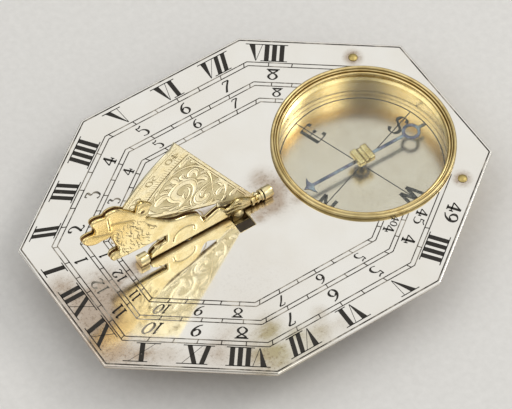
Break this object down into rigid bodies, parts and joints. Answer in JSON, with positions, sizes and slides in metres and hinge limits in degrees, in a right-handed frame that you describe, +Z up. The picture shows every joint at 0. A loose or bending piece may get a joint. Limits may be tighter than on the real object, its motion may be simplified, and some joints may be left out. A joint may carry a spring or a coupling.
{
  "type": "pocket sundial",
  "caption": "Folding pocket sundial: engraved eight-sided plate, upright gnomon with bird-shaped cheeks and a tilting latitude sector, and a glazed compass sunk below.",
  "frame": {"origin": "on the surface that the dial rests on, under the centre of the hour lines in the middle of the plate", "axes": "+Z up from the plate, +Y to its noon end, along the style, +X to its afternoon side"},
  "size_m": [0.06, 0.0772, 0.0382],
  "materials": {
    "silver_plate": "polished",
    "gilt_brass": "gloss",
    "silvered_card": "satin",
    "blued_steel": "polished",
    "pivot_steel": "polished",
    "clear_glass": "polished"
  },
  "bodies": {
    "dial": {"dial_plate": "silver_plate", "compass_case": "gilt_brass", "compass_floor": "gilt_brass", "compass_card": "silvered_card", "glass_seat_ring": "gilt_brass", "compass_glass": "clear_glass", "glass_clip_ring": "gilt_brass", "compass_bezel": "gilt_brass", "case_rivets": "gilt_brass", "needle_pivot": "pivot_steel", "compass_knuckle": "gilt_brass", "noon_knuckle": "gilt_brass", "leaf_spring": "gilt_brass", "spring_rivet": "gilt_brass"},
    "gnomon": {"gnomon_foot": "gilt_brass", "west_cheek": "gilt_brass", "east_cheek": "gilt_brass", "cheek_rivets": "gilt_brass", "sector_rivet": "gilt_brass"},
    "sector": {"latitude_sector": "gilt_brass"},
    "needle": {"compass_needle": "blued_steel", "needle_cap": "gilt_brass"}
  },
  "joints": [
    {"name": "gnomon_fold", "type": "hinge", "parent": "dial", "child": "gnomon", "pos_m": [0, 0.01, 0.0102], "axis": [0, 1, 0], "range_deg": [0, 90]},
    {"name": "sector_tilt", "type": "hinge", "parent": "gnomon", "child": "sector", "pos_m": [0, 0.00057, 0.0107], "axis": [1, 0, 0], "range_deg": [-20, 0]},
    {"name": "needle_spin", "type": "hinge", "parent": "dial", "child": "needle", "pos_m": [0, -0.0214, 0.0044], "axis": [0, 0, 1], "continuous": true}
  ]
}
